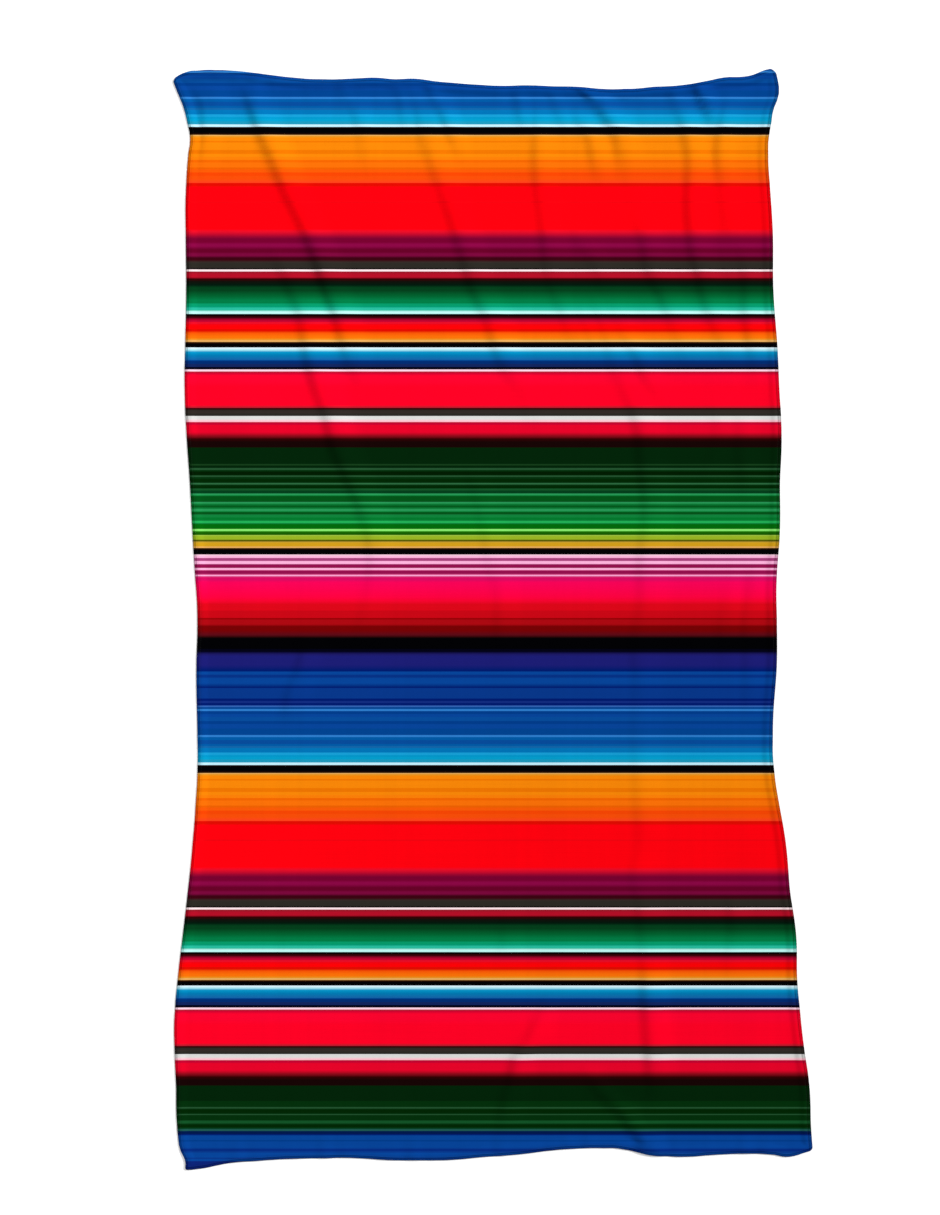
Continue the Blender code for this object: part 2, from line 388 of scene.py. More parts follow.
# Yarn colours as red, green and blue from 0 to 255.
YARNS = {
    "peach": (230, 170, 92), "amber": (226, 147, 28), "marigold": (245, 133, 6), "pumpkin": (235, 116, 0),
    "tangerine": (247, 125, 6), "burnt": (238, 100, 0), "orange": (247, 111, 6), "rust": (234, 95, 0),
    "flame": (245, 89, 5), "vermilion": (242, 69, 2), "coral": (244, 76, 6), "poppy": (252, 64, 28),
    "brick": (222, 10, 0), "scarlet": (254, 0, 13), "cardinal": (241, 2, 14), "crimson": (230, 12, 38),
    "claret": (146, 4, 46), "wine": (118, 0, 46), "plum": (137, 6, 68), "mulberry": (102, 0, 38),
    "damson": (120, 6, 58), "maroon": (58, 2, 16), "ash": (50, 42, 38), "charcoal": (44, 41, 36),
    "soot": (20, 16, 14), "chalk": (252, 228, 232), "garnet": (154, 20, 38), "cherry": (179, 14, 38),
    "raspberry": (174, 28, 46), "oxblood": (48, 0, 2), "pitch": (14, 14, 8), "night": (0, 24, 11),
    "fir": (2, 61, 26), "pine": (0, 96, 46), "emerald": (0, 122, 68), "jade": (4, 152, 104),
    "teal": (2, 152, 113), "aqua": (38, 186, 156), "mint": (192, 248, 244), "black": (0, 0, 2),
    "carmine": (191, 3, 48), "red": (252, 1, 5), "umber": (36, 12, 0), "ice": (216, 240, 250),
    "haze": (164, 226, 238), "cyan": (2, 148, 198), "cerulean": (0, 119, 175), "azure": (18, 99, 165),
    "royal": (0, 66, 142), "navy": (0, 43, 112), "ink": (17, 36, 92), "midnight": (1, 1, 20),
    "pearl": (255, 214, 232), "blush": (255, 192, 206), "berry": (251, 2, 45), "geranium": (254, 0, 36),
    "silver": (219, 219, 217), "rose": (230, 2, 40), "lacquer": (136, 9, 24), "raisin": (22, 3, 3),
    "forest": (1, 35, 7), "moss": (20, 60, 25), "thicket": (0, 27, 0), "lichen": (34, 81, 46),
    "holly": (2, 47, 10), "bottle": (0, 37, 2), "sage": (44, 104, 62), "ivy": (18, 82, 38),
    "spring": (40, 150, 86), "grass": (1, 81, 22), "clover": (14, 128, 58), "meadow": (2, 118, 44),
    "leaf": (34, 175, 86), "lawn": (1, 103, 10), "lime": (138, 234, 112), "apple": (48, 142, 20),
    "olive": (20, 92, 0), "chartreuse": (158, 194, 66), "pear": (150, 178, 34), "bronze": (78, 76, 0),
    "straw": (190, 155, 50), "gold": (208, 156, 26), "petal": (240, 198, 216), "candy": (252, 178, 218),
    "orchid": (168, 64, 123), "magenta": (146, 14, 76), "azalea": (214, 74, 136), "fuchsia": (212, 10, 96),
    "neon": (246, 1, 87), "carnation": (251, 0, 64), "pomegranate": (245, 2, 47), "blood": (218, 5, 23),
    "madder": (199, 5, 20), "oxide": (146, 0, 3), "sumac": (170, 7, 16), "rosewood": (116, 0, 2),
    "sloe": (92, 8, 20), "violet": (27, 24, 100), "indigo": (27, 28, 115), "cobalt": (5, 67, 151),
    "denim": (6, 54, 136), "deep": (0, 26, 108), "lobelia": (18, 44, 126), "cornflower": (50, 98, 178),
    "sky": (46, 124, 202), "lapis": (0, 59, 137), "ocean": (0, 88, 162), "sapphire": (5, 74, 152),
    "lagoon": (0, 114, 180), "turquoise": (22, 156, 210), "pool": (2, 155, 201), "surf": (28, 150, 185),
    "foam": (194, 238, 252), "spruce": (30, 88, 80), "ultramarine": (2, 42, 126), "harbour": (0, 24, 76),
    "marine": (10, 35, 118),
}

# One repeat of the stripes, read down the cloth. Each stripe is its number of picks and its yarn, and
# "one>other" is a stripe that shades from one yarn into another.
CHART = """
1 umber, 2 peach, 3 amber, 7 marigold, 3 pumpkin, 15 marigold, 8 pumpkin, 6 marigold, 6 tangerine, 5 burnt,
10 orange, 4 rust, 6 flame, 7 vermilion, 6 coral, 8 coral>poppy, 5 brick, 4 brick>scarlet, 28 scarlet,
3 cardinal, 52 scarlet, 5 scarlet>crimson, 11 crimson>claret, 4 claret>wine, 6 wine, 5 wine>plum, 3 plum,
7 plum>mulberry, 5 mulberry, 4 mulberry>damson, 3 damson, 5 damson>maroon, 4 maroon, 5 maroon>ash, 1 ash,
10 charcoal, 3 soot, 4 chalk, 4 garnet, 7 cherry, 4 cherry>oxblood, 1 oxblood, 4 oxblood>pitch,
7 pitch>night, 6 night>fir, 5 fir, 11 fir>pine, 9 pine>emerald, 6 emerald, 5 jade, 3 teal, 5 aqua,
4 aqua>mint, 4 mint, 4 black, 3 oxblood, 7 maroon>carmine, 2 carmine, 4 crimson, 3 cardinal, 7 red, 4 brick,
5 brick>flame, 6 flame>orange, 2 orange, 5 orange>amber, 4 peach, 3 umber, 8 black, 2 ice, 3 ice>haze,
4 haze>cyan, 7 cyan>cerulean, 8 cerulean>azure, 1 azure, 2 royal, 6 navy, 6 ink, 5 midnight, 3 pearl,
1 blush, 2 raspberry, 7 carmine>berry, 10 berry, 12 berry>geranium, 37 geranium, 5 crimson>raspberry,
2 oxblood, 3 oxblood>charcoal, 2 charcoal, 3 ash, 4 charcoal, 2 pitch, 6 silver, 4 silver>blush, 2 blush,
4 carmine, 3 carmine>rose, 13 rose, 8 rose>lacquer, 6 lacquer>oxblood, 6 oxblood>raisin, 11 raisin,
33 forest, 3 moss, 5 forest, 4 lichen, 3 holly, 7 thicket, 1 holly, 3 lichen, 4 holly, 6 bottle, 2 holly,
3 sage, 3 holly, 5 bottle, 4 ivy, 6 fir, 3 spring, 2 clover, 11 grass, 1 ivy, 3 spring, 6 clover>grass,
5 grass>clover, 4 spring, 2 clover, 4 grass, 1 ivy, 6 clover, 5 meadow, 2 clover, 4 leaf, 2 clover, 10 lawn,
4 lime, 2 apple, 6 olive, 2 chartreuse, 6 pear, 3 pear>bronze, 2 bronze, 2 straw, 8 gold, 3 peach, 3 umber,
10 black, 3 petal, 4 candy, 6 orchid, 6 candy, 1 orchid, 7 magenta, 4 candy, 1 azalea, 7 magenta, 2 azalea,
2 candy, 2 azalea, 5 fuchsia, 6 fuchsia>neon, 28 neon>carnation, 8 carnation>pomegranate,
8 pomegranate>blood, 12 blood, 15 madder, 3 oxide, 9 sumac, 5 sumac>rosewood, 8 rosewood, 8 rosewood>sloe,
6 sloe>raisin, 1 raisin, 22 black, 5 midnight, 6 midnight>violet, 4 violet>indigo, 16 indigo,
11 indigo>deep, 3 deep, 6 cobalt, 2 denim, 4 ultramarine>denim, 2 denim>cobalt, 9 cobalt, 9 cobalt>deep,
1 deep, 21 denim, 5 deep, 4 lobelia, 5 deep, 3 cornflower, 4 royal, 4 sky, 1 royal, 5 lapis, 6 cobalt,
8 sapphire, 6 lapis, 9 cobalt, 13 royal, 4 sky, 6 ocean, 8 sapphire, 4 ocean, 4 azure, 9 lagoon,
5 turquoise, 4 cyan, 4 pool, 2 pool>surf, 5 surf, 5 foam, 2 umber, 9 black, 4 black>umber
"""

# The band at the foot, read down from where it cuts the chart off.
FOOT_CHART = """
12 holly, 3 lichen, 2 holly, 7 bottle, 2 holly, 2 lichen, 11 holly, 6 ivy, 3 holly, 3 bottle,
2 bottle>holly, 2 holly>fir, 2 fir>spruce, 3 spruce, 5 harbour, 2 harbour>deep, 3 deep>cobalt, 8 cobalt,
3 lapis, 11 cobalt, 4 cobalt>denim, 4 ultramarine, 3 denim, 10 cobalt, 3 denim, 4 cobalt, 56 marine
"""


def stripes_of(chart):
    """The chart's stripes as (picks, yarn at its start, yarn at its end)."""
    stripes = []
    for entry in chart.replace("\n", " ").split(","):
        picks, yarns = entry.split()
        first, _, last = yarns.partition(">")
        stripes.append((int(picks), first, last or first))
    return stripes


# ---------------------------------------------------------------- the cloth's form


def smoothstep(t):
    """From 0 to 1, level at both ends."""
    t = np.clip(t, 0, 1)
    return t * t * (3 - 2 * t)


def curve(place, value, at):
    """The value at each place: parabolas through neighbouring points, blended from one to the next."""
    slope = np.gradient(value, place)
    at = np.clip(at, place[0], place[-1])
    start = np.clip(np.searchsorted(place, at, side="right") - 1, 0, len(place) - 2)
    run = place[start + 1] - place[start]
    t = (at - place[start]) / run
    before = value[start] + slope[start] * run * t
    after = value[start + 1] - slope[start + 1] * run * (1 - t)
    blend = smoothstep(t)
    return before * (1 - blend) + after * blend


def side_edge(side, y):
    """How far across the left or right edge is at each height up the cloth."""
    return curve(SIDE_EDGES["up"], SIDE_EDGES[side], y)


def end_edge(end, x):
    """How far up the bottom or top edge is at each place across the cloth."""
    return curve(END_EDGES["across"], END_EDGES[end], x)


def fold_height(x, y):
    """The ridges' heights: a squared cosine across each, times its knots' heights along it. Where two meet,
    the height is the square root of the sum of their squares."""
    height = np.zeros_like(x)
    for (left_reach, right_reach), knots in FOLDS.values():
        across, up, crest = np.array(knots[::-1], dtype=float).T * MM
        side = x - curve(up, across, y) - left_reach * MM / 2
        reach = np.where(side < 0, left_reach, right_reach) * MM
        profile = np.cos(np.pi / 2 * np.clip(side / reach, -1, 1)) ** 2
        along = np.where((y > up[0]) & (y < up[-1]), np.maximum(curve(up, crest, y), 0), 0)
        height = np.sqrt(height**2 + (profile * along) ** 2)
    return height


def corner_radius(x, y):
    """The radius of the corner nearest each point."""
    low = np.where(x < 0, CORNER_RADII["bottom left"], CORNER_RADII["bottom right"])
    high = np.where(x < 0, CORNER_RADII["top left"], CORNER_RADII["top right"])
    return np.where(y < 0, low, high)


def insets_of(x, y):
    """How far inside the nearer side edge, and the nearer end edge, each point is."""
    beside = np.minimum(x - side_edge("left", y), side_edge("right", y) - x)
    ends = np.minimum(y - end_edge("bottom", x), end_edge("top", x) - y)
    return beside, ends


def edge_distance(x, y):
    """How far inside the cloth's outline each point is: to the nearest edge, or to the arc near a corner."""
    beside, ends = insets_of(x, y)
    radius = corner_radius(x, y)
    past_side = np.maximum(radius - beside, 0)
    past_end = np.maximum(radius - ends, 0)
    near_corner = (past_side > 0) & (past_end > 0)
    return np.where(near_corner, radius - np.hypot(past_side, past_end), np.minimum(beside, ends))


def waves(rows, x, y):
    """A sum of sines, each lifted so that its lowest place is nought."""
    return sum(
        height * MM * (1 + np.sin(2 * np.pi * (across * x + up * y) + start))
        for height, across, up, start in rows
    )


def painted_rim_shade(x, y):
    """How much painted shade darkens the rim: a side's darkening times (1 - distance / reach) to its power.
    It shades the rim all round as on the left, and further in on the right, whose lip faces the key light."""
    gaps = {"right": side_edge("right", y) - x, "left": edge_distance(x, y)}
    shares = [
        PAINTED_RIM_SHADE_DEPTH[side] * np.clip(1 - gap / PAINTED_RIM_SHADE_REACH[side], 0, 1) ** PAINTED_RIM_SHADE_POWER
        for side, gap in gaps.items()
    ]
    return np.maximum(*shares)


def floor_height(x, y):
    """Height of the cloth's underside with no hem under it: the folds, slow swells that fade out towards the
    edges, and ripples that fade out away from the ends. It is never below the floor."""
    inside = smoothstep((edge_distance(x, y) - FLOOR_INSET) / SWELL_FADE)
    from_bottom = (y - end_edge("bottom", x)) / RIPPLE_REACH["bottom"]
    from_top = (end_edge("top", x) - y) / RIPPLE_REACH["top"]
    near_ends = 1 - smoothstep(np.minimum(from_bottom, from_top))
    return fold_height(x, y) + waves(SWELLS, x, y) * inside + waves(RIPPLES, x, y) * near_ends


def rounding(depth, radius):
    """From 0 at an edge to 1 at radius inside it: a quarter circle."""
    return np.sqrt(1 - (1 - np.clip(depth / radius, 0, 1)) ** 2)


def panel_height(x, y, wall):
    """Height of the panel's underside (wall 0) or top (wall WALL): the floor height, a smooth step up over
    the hems, a quarter circle down round the fold at the edge, and on top a bell-shaped groove at the
    stitches."""
    inside = edge_distance(x, y)
    rise = smoothstep((FLOOR_INSET - inside) / HEM_SLOPE)
    fold = rounding(inside - (WALL - wall), LIFT + wall)
    groove = GROOVE_DEPTH * np.exp(-(((inside - STITCH_INSET) / GROOVE_REACH) ** 2)) * (wall > 0)
    return floor_height(x, y) + (LIFT * rise + wall) * fold - groove


def stations(insets, cells):
    """Across or up the cloth: shares of the way from the low edge to the high one, offsets from there, and
    insets from the nearer edge. The given insets come first, then even cells between the last ones, then the
    insets again."""
    insets = np.asarray(insets, dtype=float)
    low = insets[:-1]
    share = np.linspace(0, 1, cells + 1)
    shares = np.concatenate([np.zeros(len(low)), share, np.ones(len(low))])
    offsets = np.concatenate([low, insets[-1] * (1 - 2 * share), -low[::-1]])
    return shares, offsets, np.concatenate([low, np.full(cells + 1, insets[-1]), low[::-1]])


def beside_edge(end, insets):
    """The stations of a band along the low (0) or the high (1) edge."""
    insets = insets if end == 0 else insets[::-1]
    return np.full(len(insets), float(end)), insets * (1 - 2 * end), insets


def on_cloth(across, up, margin):
    """X and Y of every crossing of the across and up stations, inside the cloth's four curved edges. Each
    corner's square is pressed into a quarter disc: where s and t are a point's shares of the way out to the
    two edges, s becomes s * sqrt(1 - t * t / 2), and t likewise."""
    (share_x, offset_x, _), (share_y, offset_y, _) = across, up
    x = np.zeros((len(share_y), len(share_x)))
    y = np.zeros_like(x)
    for _ in range(SETTLING_ROUNDS):
        left, right = side_edge("left", y), side_edge("right", y)
        x = left + share_x * (right - left) + offset_x
        bottom, top = end_edge("bottom", x), end_edge("top", x)
        y = bottom + share_y[:, None] * (top - bottom) + offset_y[:, None]
    beside, ends = insets_of(x, y)
    radius = corner_radius(x, y) - margin
    s = np.clip(1 - (beside - margin) / radius, 0, 1)
    t = np.clip(1 - (ends - margin) / radius, 0, 1)
    inward_x, inward_y = -np.sign(x), -np.sign(y)
    return (
        x + inward_x * radius * s * (1 - np.sqrt(1 - t * t / 2)),
        y + inward_y * radius * t * (1 - np.sqrt(1 - s * s / 2)),
    )


# ---------------------------------------------------------------- meshes


def grid_numbers(rows, columns):
    """Point numbers from 0, row by row."""
    return np.arange(rows * columns).reshape(rows, columns)


def grid_quads(number):
    """The quads of a grid of point numbers, facing up where its rows go up and its columns go right."""
    corners = [number[:-1, :-1], number[:-1, 1:], number[1:, 1:], number[1:, :-1]]
    return np.stack(corners, axis=-1).reshape(-1, 4)


def rim_of(number):
    """A grid's outer point numbers, anticlockwise."""
    return np.concatenate([number[0, :-1], number[:-1, -1], number[-1, :0:-1], number[:0:-1, 0]])


def new_piece(name, points, quads, maps):
    """A mesh object of quads, with its named maps given corner by corner."""
    mesh = bpy.data.meshes.new(name)
    mesh.vertices.add(len(points))
    mesh.vertices.foreach_set("co", points.astype(np.float32).ravel())
    mesh.loops.add(quads.size)
    mesh.loops.foreach_set("vertex_index", quads.astype(np.int32).ravel())
    mesh.polygons.add(len(quads))
    mesh.polygons.foreach_set("loop_start", np.arange(0, quads.size, 4, dtype=np.int32))
    for map_name, places in maps.items():
        layer = mesh.uv_layers.new(name=map_name)
        layer.data.foreach_set("uv", places.astype(np.float32).ravel())
    mesh.update(calc_edges=True)
    mesh.shade_smooth()
    piece = bpy.data.objects.new(name, mesh)
    bpy.context.scene.collection.objects.link(piece)
    return piece


def bake_places(x, y, quads, rim_quads):
    """A flat map that nothing overlaps in: the top on the left half, the underside on the right, the rim in a
    strip above them."""
    across = np.tile(((x - x.min()) / np.ptp(x)).ravel(), 2)
    up = np.tile(((y - y.min()) / np.ptp(y)).ravel(), 2)
    half = 0.5 * np.repeat([0, 1], x.size)
    flat = np.stack([BAKE_EDGE + BAKE_HALF[0] * across + half, BAKE_EDGE + BAKE_HALF[1] * up], -1)
    begin = np.arange(rim_quads) / rim_quads
    end = begin + 1 / rim_quads
    low, high = [np.full(rim_quads, edge) for edge in BAKE_STRIP]
    strip = np.stack([[begin, low], [end, low], [end, high], [begin, high]]).transpose(2, 0, 1)
    return np.concatenate([flat[quads[:-rim_quads].ravel()], strip.reshape(-1, 2)])


def closed_shell(name, top, under, woven):
    """A closed shell of two grids, each given as x, y and z, joined round their rims. woven gives where on
    the striped cloth each point of a grid was woven."""
    number = grid_numbers(*top[0].shape)
    below = number + number.size
    points = np.concatenate([np.stack(top, -1).reshape(-1, 3), np.stack(under, -1).reshape(-1, 3)])
    upper, lower = rim_of(number), rim_of(below)
    rim = np.stack([lower, np.roll(lower, -1), np.roll(upper, -1), upper], -1)
    quads = np.concatenate([grid_quads(number), grid_quads(below)[:, ::-1], rim])
    cloth = np.tile(np.stack(woven, -1).reshape(-1, 2), (2, 1))
    maps = {"cloth": cloth[quads.ravel()], "OFBake": bake_places(top[0], top[1], quads, len(rim))}
    return new_piece(name, points, quads, maps)


def panel():
    """The whole striped cloth, its edges turned down round the hems."""
    turns = np.linspace(0, np.pi / 2, LIP_STEPS + 1)
    layers = []
    for wall, margin in ((WALL, 0.0), (0.0, WALL)):
        lip = margin + (LIFT + wall) * (1 - np.cos(turns))
        insets = np.concatenate([lip, HEM_STATIONS])
        x, y = on_cloth(stations(insets, COLUMNS), stations(insets, ROWS), margin)
        layers.append((x, y, panel_height(x, y, wall)))
    top, under = layers
    piece = closed_shell("striped_cloth", top, under, (top[0], top[1]))
    # Painted shade for the rim, kept on the points.
    painted_rim = piece.data.attributes.new("painted_rim_shade", "FLOAT", "POINT")
    rim_shade = [painted_rim_shade(x, y) for x, y, _ in layers]
    painted_rim.data.foreach_set("value", np.stack(rim_shade).astype(np.float32).ravel())
    return piece


def band_height(x, y, depth):
    """Heights of a hem band's top and underside: flat, and a half circle round its edge, depth inside it."""
    start = HEM_WALL / 2 * (1 - np.cos(BAND_START))
    swell = HEM_WALL / 2 * rounding(depth + start, HEM_WALL / 2)
    middle = floor_height(x, y) + HEM_WALL / 2
    return middle + swell, middle - swell


def hem(name, side, end):
    """The turned-under band along one edge: side 0 for left or bottom, 1 for right or top. Each point of it
    was woven as far beyond the cloth's edge as it now lies inside, as in a cloth folded under."""
    turns = np.linspace(BAND_START, np.pi / 2, BAND_STEPS + 1)
    edge = HEM_WALL / 2 * (np.cos(BAND_START) - np.cos(turns))
    middle = (BAND_INSET + HEM_WIDTH) / 2
    insets = np.concatenate([BAND_INSET + edge, [middle], (HEM_WIDTH - edge)[::-1]])
    band = beside_edge(side, insets)
    first = HEM_WIDTH + SEAM_GAP if not end else BAND_INSET
    cells = COLUMNS if end else ROWS
    along = stations(np.concatenate([first + edge, [FLOOR_INSET]]), cells)
    across, up = (along, band) if end else (band, along)
    x, y = on_cloth(across, up, BAND_INSET)
    from_sides = np.minimum(band[2] - BAND_INSET, HEM_WIDTH - band[2])
    from_ends = along[2] - first
    pair = (from_ends[None, :], from_sides[:, None]) if end else (from_sides[None, :], from_ends[:, None])
    top, under = band_height(x, y, np.minimum(*pair))
    if end:
        woven = x, 2 * end_edge(END_NAMES[side], x) - y
    else:
        woven = 2 * side_edge(SIDE_NAMES[side], y) - x, y
    return closed_shell(name, (x, y, top), (x, y, under), woven)


def stitch_row(start, finish):
    """Places of stitches from start to finish along an edge, a pitch apart and centred."""
    count = int((finish - start) / STITCH_PITCH)
    return (start + finish) / 2 + STITCH_PITCH * (np.arange(count) - (count - 1) / 2)


def stitch_places(side, end):
    """Where the stitches along one hem have their middles, and the edge's direction beside each."""
    if end:
        edge = END_EDGES["across"]
        x = stitch_row(edge[0] + 2 * STITCH_INSET, edge[-1] - 2 * STITCH_INSET)
        x = x[x > side_edge("left", end_edge(END_NAMES[side], x)) + STITCH_INSET]
        x = x[x < side_edge("right", end_edge(END_NAMES[side], x)) - STITCH_INSET]
        line = end_edge(END_NAMES[side], x)
        step = end_edge(END_NAMES[side], x + MM) - line
        y = line + STITCH_INSET * (1 - 2 * side)
        tangent = np.stack([np.full_like(x, MM), step, 0 * x], -1)
    else:
        edge = SIDE_EDGES["up"]
        y = stitch_row(edge[0] + 2 * STITCH_INSET, edge[-1] - 2 * STITCH_INSET)
        line = side_edge(SIDE_NAMES[side], y)
        y = y[(y > end_edge("bottom", line) + STITCH_INSET) & (y < end_edge("top", line) - STITCH_INSET)]
        line = side_edge(SIDE_NAMES[side], y)
        step = side_edge(SIDE_NAMES[side], y + MM) - line
        x = line + STITCH_INSET * (1 - 2 * side)
        tangent = np.stack([step, np.full_like(y, MM), 0 * y], -1)
    return x, y, tangent / np.linalg.norm(tangent, axis=-1, keepdims=True)


def stitches(name, side, end):
    """The stitches along one hem, above and below the cloth. Each is a thread of round section whose line
    arches like a cosine, and which runs along the edge's slope at its middle."""
    x, y, tangent = stitch_places(side, end)
    beside = np.stack([-tangent[:, 1], tangent[:, 0], 0 * x], -1)
    upright = np.array([0, 0, 1.0])
    along = np.linspace(-1, 1, THREAD_STATIONS)
    turn = 2 * np.pi * np.arange(THREAD_SIDES) / THREAD_SIDES
    rise = THREAD_RADIUS * (THREAD_ARCH * np.cos(np.pi / 2 * along) - THREAD_SINK)
    ring = np.cos(turn)[:, None] * beside[:, None, None, :] + np.sin(turn)[:, None] * upright
    rows = []
    for height, sign in ((panel_height(x, y, WALL), 1), (floor_height(x, y), -1)):
        middle = np.stack([x, y, height], -1)[:, None, None, :]
        shift = along[:, None, None] * STITCH_LENGTH / 2 * tangent[:, None, None, :]
        lift = sign * rise[:, None, None] * upright
        rows.append(middle + shift + lift + THREAD_RADIUS * ring)
    points = np.concatenate(rows)
    number = grid_numbers(THREAD_STATIONS, THREAD_SIDES)
    wrapped = np.concatenate([number, number[:, :1]], axis=1)
    first, last = number[0], number[-1]
    # Each end is a hexagon, closed by two quads.
    caps = np.array([first[[3, 2, 1, 0]], first[[5, 4, 3, 0]], last[[0, 1, 2, 3]], last[[0, 3, 4, 5]]])
    one = np.concatenate([grid_quads(wrapped), caps])
    quads = (one[None] + number.size * np.arange(len(points))[:, None, None]).reshape(-1, 4)
    points = points.reshape(-1, 3)
    return new_piece(name, points, quads, {"cloth": points[quads.ravel(), :2]})


# ---------------------------------------------------------------- finishes


def linear(rgb):
    """A colour from 0 to 255 as the light it gives back: the sRGB curve, times the brightest yarn's share."""
    value = np.array(rgb) / 255
    light = np.where(value <= 0.04045, value / 12.92, ((value + 0.055) / 1.055) ** 2.4)
    return (*(BRIGHTEST * light), 1.0)


class Nodes:
    """Short calls that add shader nodes to one node tree and link them."""

    def __init__(self, tree):
        self.tree = tree
        tree.nodes.clear()

    def add(self, kind, inputs=None, **settings):
        """A node of a kind, with its inputs by name or number and its settings."""
        node = self.tree.nodes.new("ShaderNode" + kind)
        for name, value in settings.items():
            setattr(node, name, value)
        for socket, value in (inputs or {}).items():
            self.put(node.inputs[socket], value)
        return node

    def put(self, socket, value):
        """Links another node's output to the socket, or sets a plain value on it."""
        if isinstance(value, bpy.types.NodeSocket):
            self.tree.links.new(value, socket)
        else:
            socket.default_value = value

    def math(self, operation, *values):
        """One step of arithmetic."""
        return self.add("Math", dict(enumerate(values)), operation=operation).outputs[0]

    def mix(self, factor, first, second, blend_type="MIX"):
        """Two colours mixed."""
        inputs = {0: factor, 6: first, 7: second}
        return self.add("Mix", inputs, data_type="RGBA", blend_type=blend_type).outputs[2]

    def noise(self, vector, scale, detail=2.0):
        """Flat noise, from 0 to 1 about a half."""
        inputs = {"Vector": vector, "Scale": scale, "Detail": detail}
        return self.add("TexNoise", inputs, noise_dimensions="2D").outputs["Fac"]

    def stretched(self, across, up, wide, high):
        """A place scaled on its own each way."""
        inputs = {0: self.math("MULTIPLY", across, wide), 1: self.math("MULTIPLY", up, high)}
        return self.add("CombineXYZ", inputs).outputs[0]

    def grey(self, shade):
        """An even grey of a given shade."""
        return self.add("CombineXYZ", {0: shade, 1: shade, 2: shade}).outputs[0]

    def surface(self, colour, roughness, shine):
        """The finished surface, as its shader."""
        shader = self.add("BsdfPrincipled", {"Base Color": colour, "Roughness": roughness})
        shader.inputs["Specular IOR Level"].default_value = shine
        self.add("OutputMaterial", {"Surface": shader.outputs[0]})
        return shader


def new_material(name):
    """A bare material, and the short calls that add its nodes."""
    material = bpy.data.materials.new(name)
    material.use_nodes = True
    return material, Nodes(material.node_tree)


def add_stripes(nodes, place, chart, under):
    """Colour ramps for a chart's stripes, laid over what is under them. place is in picks from its start."""
    stripes = stripes_of(chart)
    ends = np.cumsum([picks for picks, _, _ in stripes])
    for first in range(0, len(stripes), STRIPES_A_RAMP):
        group = stripes[first : first + STRIPES_A_RAMP]
        start = float(ends[first] - stripes[first][0])
        finish = float(ends[first + len(group) - 1])
        spread = nodes.add("MapRange", {"Value": place, "From Min": start, "From Max": finish})
        ramp = nodes.add("ValToRGB", {"Fac": spread.outputs["Result"]})
        at = start
        stops = []
        for picks, yarn, last in group:
            stops += [(at + STRIPE_BLEND, yarn), (at + picks - STRIPE_BLEND, last)]
            at += picks
        elements = ramp.color_ramp.elements
        for number, (stop, yarn) in enumerate(stops):
            position = (stop - start) / (finish - start)
            element = elements[number] if number < 2 else elements.new(position)
            element.position = position
            element.color = linear(YARNS[yarn])
        under = nodes.mix(nodes.math("GREATER_THAN", place, start), under, ramp.outputs["Color"])
    return under


def stripe_group():
    """A node group that gives the striped cloth's colour and pick at a place on it, in metres."""
    tree = bpy.data.node_groups.new("woven stripes", "ShaderNodeTree")
    for name in ("Across", "Up"):
        tree.interface.new_socket(name, in_out="INPUT", socket_type="NodeSocketFloat")
    tree.interface.new_socket("Color", in_out="OUTPUT", socket_type="NodeSocketColor")
    tree.interface.new_socket("Pick", in_out="OUTPUT", socket_type="NodeSocketFloat")
    nodes = Nodes(tree)
    entry = tree.nodes.new("NodeGroupInput")
    across, up = entry.outputs["Across"], entry.outputs["Up"]
    waver = nodes.math("SUBTRACT", nodes.noise(nodes.stretched(across, up, *WAVER_SCALE), 1.0), 0.5)
    down = nodes.math("MULTIPLY", nodes.math("SUBTRACT", CHART_TOP, up), 1 / PICK)
    pick = nodes.math("MULTIPLY_ADD", waver, WAVER, down)
    repeat = float(sum(picks for picks, _, _ in stripes_of(CHART)))
    colour = add_stripes(nodes, nodes.math("FLOORED_MODULO", pick, repeat), CHART, (0, 0, 0, 1))
    foot = nodes.math("SUBTRACT", pick, (CHART_TOP - FOOT_TOP) / PICK)
    colour = add_stripes(nodes, foot, FOOT_CHART, colour)
    leave = tree.nodes.new("NodeGroupOutput")
    nodes.put(leave.inputs["Color"], colour)
    nodes.put(leave.inputs["Pick"], pick)
    return tree


def woven_place(nodes, group):
    """Where a point was woven, as one vector and as across and up, and the stripes at that place."""
    place = nodes.add("UVMap", uv_map="cloth").outputs[0]
    apart = nodes.add("SeparateXYZ", {0: place})
    across, up = apart.outputs[0], apart.outputs[1]
    stripes = nodes.add("Group", node_tree=group)
    nodes.put(stripes.inputs["Across"], across)
    nodes.put(stripes.inputs["Up"], up)
    return place, across, up, stripes


